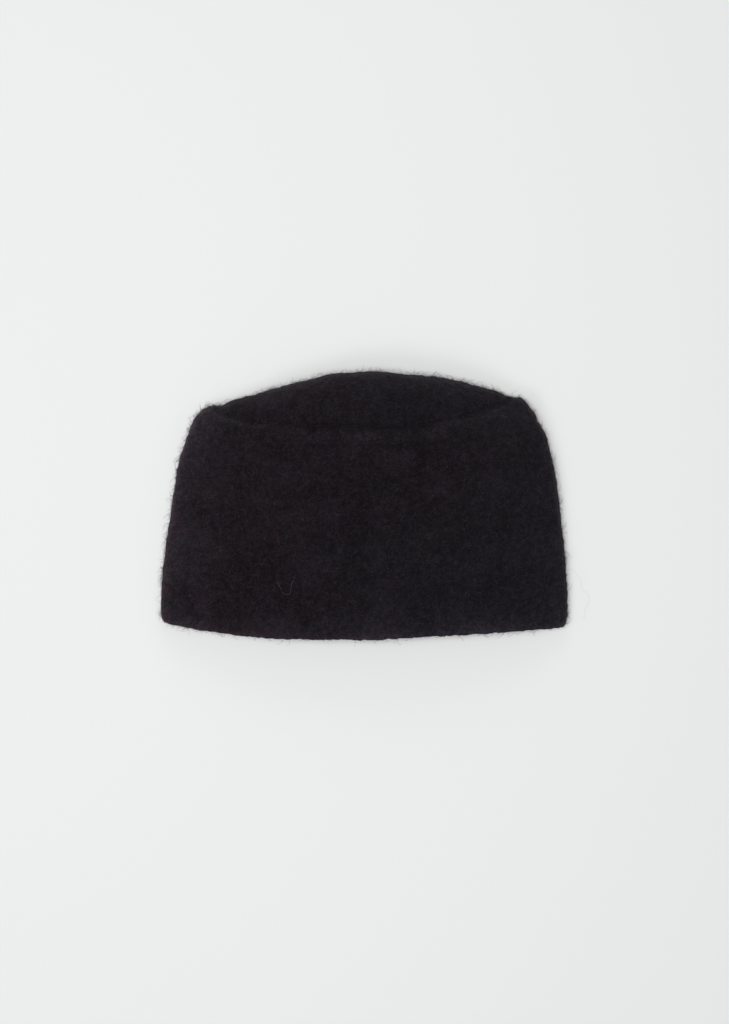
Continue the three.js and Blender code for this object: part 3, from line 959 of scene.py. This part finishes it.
def make_fuzz_tree():
    tree, given, result = new_tree("curled_fibres", {
        "Fibres per square mm": 1.0, "Per square mm at edges": 1.0, "Per square mm at seam": 0.0,
        "Fuzz at hem": 1.0, "Fuzz at left": 1.0, "Length": 3 * MM, "Thickness": 0.06 * MM,
        "Curl radius": 2 * MM, "Lift": 0.4, "Taper": 0.7, "Clumps": 0.5, "Points": FIBRE_POINTS, "Seed": 1})
    curves, kept = plant_fibres(tree, given)
    share = add_node(tree, "GeometryNodeSplineParameter").outputs["Factor"]
    curves = curl_fibres(tree, given, curves, kept, share)
    taper = calc(tree, "MULTIPLY_ADD", share, calc(tree, "SUBTRACT", given["Taper"], 1.0), 1.0)
    radius = calc(tree, "MULTIPLY", taper, calc(tree, "MULTIPLY", given["Thickness"], 0.5))
    section = add_node(tree, "GeometryNodeCurvePrimitiveCircle", {"Resolution": FIBRE_SIDES, "Radius": 1.0})
    skins = add_node(tree, "GeometryNodeCurveToMesh", {
        "Curve": curves, "Profile Curve": section.outputs[0], "Scale": radius, "Fill Caps": True})
    finish_tree(tree, given, result, skins.outputs[0])
    return tree


fuzz_tree = make_fuzz_tree()
print("fuzz tree nodes:", len(fuzz_tree.nodes))

# %% [markdown]
# The same tree makes all the fuzz. The nap lies flat over the whole felt. The seam nap is dense and has the
# felt's own colour, so that it softens the cross seam without lighting it. The fringe stands out from the
# folds and the hem, most at the worn left side, and the tufts are short stubs that roughen the outline.
# Lengths are in millimetres, and top, edge and seam are fibres for each square millimetre. At the hem and at
# the left, at_hem and at_left multiply edge.

# %% The fuzz pieces
EVEN = {"top": 0, "edge": 0, "seam": 0, "at_hem": 1, "at_left": 1}
NAP = {**EVEN, "top": 0.15, "edge": 0.08, "length": 3.6, "thick": 0.13,
       "taper": 0.5, "lift": 0.3, "curl": 1.8, "clumps": 0.5, "wool": fibre_wool}
SEAM_NAP = {**EVEN, "seam": 4.0, "length": 3.2, "thick": 0.18,
            "taper": 0.4, "lift": 0.3, "curl": 1.6, "clumps": 0.0, "wool": felt}
FRINGE = {**EVEN, "edge": 0.15, "at_hem": 0.7, "at_left": 3.6, "length": 4.2, "thick": 0.17,
          "taper": 0.7, "lift": 1.4, "curl": 2.2, "clumps": 1.4, "wool": fringe_wool}
TUFTS = {**EVEN, "edge": 0.2, "at_hem": 0.6, "at_left": 1.3, "length": 0.9, "thick": 0.46,
         "taper": 0.25, "lift": 2.0, "curl": 1.2, "clumps": 1.0, "wool": fringe_wool}
FUZZ_PIECES = [
    {"name": "nap_band_a", "on": felt_band, "seed": 11, **NAP},
    {"name": "nap_band_b", "on": felt_band, "seed": 12, **NAP},
    {"name": "nap_tip", "on": felt_tip, "seed": 13, **NAP, "top": 0.3, "edge": 0.12},
    {"name": "seam_nap_band", "on": felt_band, "seed": 18, **SEAM_NAP},
    {"name": "seam_nap_tip", "on": felt_tip, "seed": 19, **SEAM_NAP},
    {"name": "fringe_band", "on": felt_band, "seed": 14, **FRINGE},
    {"name": "fringe_tip", "on": felt_tip, "seed": 15, **FRINGE, "edge": 0.22},
    {"name": "tufts_band", "on": felt_band, "seed": 16, **TUFTS},
    {"name": "tufts_tip", "on": felt_tip, "seed": 17, **TUFTS, "edge": 0.1},
]


def add_fuzz(row):
    fuzz = new_object(row["name"], row["on"].data.copy())
    add_nodes_modifier(fuzz, fuzz_tree, {
        "Fibres per square mm": row["top"], "Per square mm at edges": row["edge"],
        "Per square mm at seam": row["seam"], "Fuzz at hem": row["at_hem"], "Fuzz at left": row["at_left"],
        "Length": row["length"] * MM, "Thickness": row["thick"] * MM, "Curl radius": row["curl"] * MM,
        "Lift": row["lift"], "Taper": row["taper"], "Clumps": row["clumps"], "Seed": row["seed"],
        "Material": row["wool"]})
    make_plain(fuzz)
    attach(fuzz, "root")


for row in FUZZ_PIECES:
    add_fuzz(row)

# %% [markdown]
# ## Stray hairs
# Two single hairs are long enough to notice: one lies in a loop on the band, and one has worked out of the
# right side fold and hangs over the table. The fuzz tree would put them anywhere, so each is drawn as a
# Bezier curve through a handful of points. A point is how far right and down it is in the picture, in picture
# pixels, and its height in millimetres above whatever is under it.

# %% Stray hairs
PICTURE_PIXELS_WIDE = 729
STRAY_BEVEL_STEPS = 1
STRAY_CURVE_STEPS = 5
HAIR_DARK = (0.10, 0.095, 0.10, 1)
HAIR_LIGHT = (0.22, 0.21, 0.22, 1)
hair_light = make_fibre_material("hair_light", HAIR_DARK, HAIR_LIGHT)
STRAYS = [
    {"name": "loop_hair", "wool": hair_light, "thick": 0.09 * MM, "points": [
        (277, 580, 0.0), (279, 583, 0.5), (281.4, 587.2, 0.6), (282.8, 591, 0.5), (287, 594, 0.5),
        (291, 592, 0.6), (291.6, 586.6, 0.7), (292.8, 582, 0.6), (294.8, 578.5, 0.4), (296, 573, 0.2)]},
    {"name": "side_hair", "wool": fibre_wool, "thick": 0.045 * MM, "points": [
        (564, 570, 1.0), (569, 569.2, 8.0), (573, 570.4, 6.0), (576.8, 575, 4.5), (580.5, 580.4, 3.0),
        (580.7, 585, 2.2), (583, 590, 1.5), (587.2, 594.6, 0.9), (589.3, 599.2, 0.6), (588.4, 604.2, 0.5),
        (585, 609.2, 0.4), (584.3, 615, 0.3), (583.7, 619.6, 0.3)]},
]


def surface_to_hit(piece):
    """A piece's mesh as a tree that rays can hit."""
    points = [vertex.co for vertex in piece.data.vertices]
    return BVHTree.FromPolygons(points, [face.vertices for face in piece.data.polygons])


felt_surfaces = [surface_to_hit(piece) for piece in (felt_band, felt_tip)]


def place_in_picture(right, down, above):
    """The point at that place in the picture, above the felt or the table there."""
    x = PICTURE_MIDDLE.x + (right - PICTURE_PIXELS_WIDE / 2) * MM_PER_PIXEL * MM
    y = PICTURE_MIDDLE.y - (down - PICTURE_PIXELS_HIGH / 2) * MM_PER_PIXEL * MM
    hits = [surface.ray_cast(Vector((x, y, ABOVE_ALL)), DOWN)[0] for surface in felt_surfaces]
    ground = max([hit.z for hit in hits if hit] + [0])
    return Vector((x, y, ground + above * MM))


def add_stray(row):
    curve = bpy.data.curves.new(row["name"], "CURVE")
    curve.dimensions = "3D"
    curve.bevel_depth = row["thick"] / 2
    curve.bevel_resolution = STRAY_BEVEL_STEPS
    curve.resolution_u = STRAY_CURVE_STEPS
    curve.use_fill_caps = True
    spline = curve.splines.new("BEZIER")
    spline.bezier_points.add(len(row["points"]) - 1)
    for knot, point in zip(spline.bezier_points, row["points"]):
        knot.co = place_in_picture(*point)
        knot.handle_left_type = knot.handle_right_type = "AUTO"
    curve.materials.append(row["wool"])
    drawn = new_object(row["name"] + "_curve", curve)
    mesh = evaluated_mesh(drawn)
    bpy.data.objects.remove(drawn)
    hair = new_object(row["name"], mesh)
    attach(hair, "root")
    print(row["name"], "faces", len(mesh.polygons))


for row in STRAYS:
    add_stray(row)

# %% [markdown]
# ## Table and light
# The hat lies on a pale, matt table. A curved backdrop would do as well, but from straight above a flat plane
# looks the same. The table isn't part of the hat, so unlike the felt it isn't attached to the hat's root.

# %% Table
TABLE_SIZE = 6
TABLE_SHADER = {"Base Color": (0.806, 0.811, 0.810, 1), "Roughness": 0.9, "Specular IOR Level": 0.1}

half_table = TABLE_SIZE / 2
corners = [(-half_table, -half_table), (half_table, -half_table),
           (half_table, half_table), (-half_table, half_table)]
table_mesh = bpy.data.meshes.new("table")
table_mesh.from_pydata([(x, y, 0) for x, y in corners], [], [(0, 1, 2, 3)])
table_mesh.materials.append(new_material("pale_table", TABLE_SHADER)[0])
table = new_object("table", table_mesh)
print("table size in m:", [round(side, 2) for side in table.dimensions])

# %% [markdown]
# The photo's shadows are short and soft, so the light is a pale sky and four wide lamps: one almost overhead,
# one high on the left, a key from the lower left of the picture, which throws the short shadow past the tip
# and brightens the left fold, and a low one beyond the tip, which keeps the tip from going black.

# %% Soft studio light
SKY_COLOUR = (0.99, 1.0, 1.0, 1)
SKY_STRENGTH = 0.24
LAMP_SIZE_BY_DISTANCE = 0.375
LIGHTS = [
    {"name": "overhead_light", "azimuth": 225, "elevation": 87, "distance": 2.4, "watts": 26},
    {"name": "high_left_light", "azimuth": 175, "elevation": 68, "distance": 2.4, "watts": 14},
    {"name": "key_light", "azimuth": 225, "elevation": 45, "distance": 6.0, "watts": 52},
    {"name": "tip_side_light", "azimuth": 90, "elevation": 22, "distance": 2.4, "watts": 7.4},
]


def from_angles(azimuth, elevation, distance):
    """The point in that direction. Azimuth 0 is +X and 90 is +Y, in degrees."""
    turn = math.radians(azimuth)
    up = math.radians(elevation)
    return distance * Vector((math.cos(up) * math.cos(turn), math.cos(up) * math.sin(turn), math.sin(up)))


world = bpy.data.worlds.new("studio")
world.use_nodes = True
background = world.node_tree.nodes["Background"]
background.inputs["Color"].default_value = SKY_COLOUR
background.inputs["Strength"].default_value = SKY_STRENGTH
scene.world = world
for row in LIGHTS:
    light_data = bpy.data.lights.new(row["name"], "AREA")
    light_data.shape = "DISK"
    light_data.size = LAMP_SIZE_BY_DISTANCE * row["distance"]
    light_data.energy = row["watts"]
    light = new_object(row["name"], light_data)
    light.location = from_angles(row["azimuth"], row["elevation"], row["distance"])
    light.rotation_euler = (-light.location).to_track_quat("-Z", "Y").to_euler()
    print(row["name"], "across in m:", round(light_data.size, 2))
scene.view_settings.view_transform = "Standard"
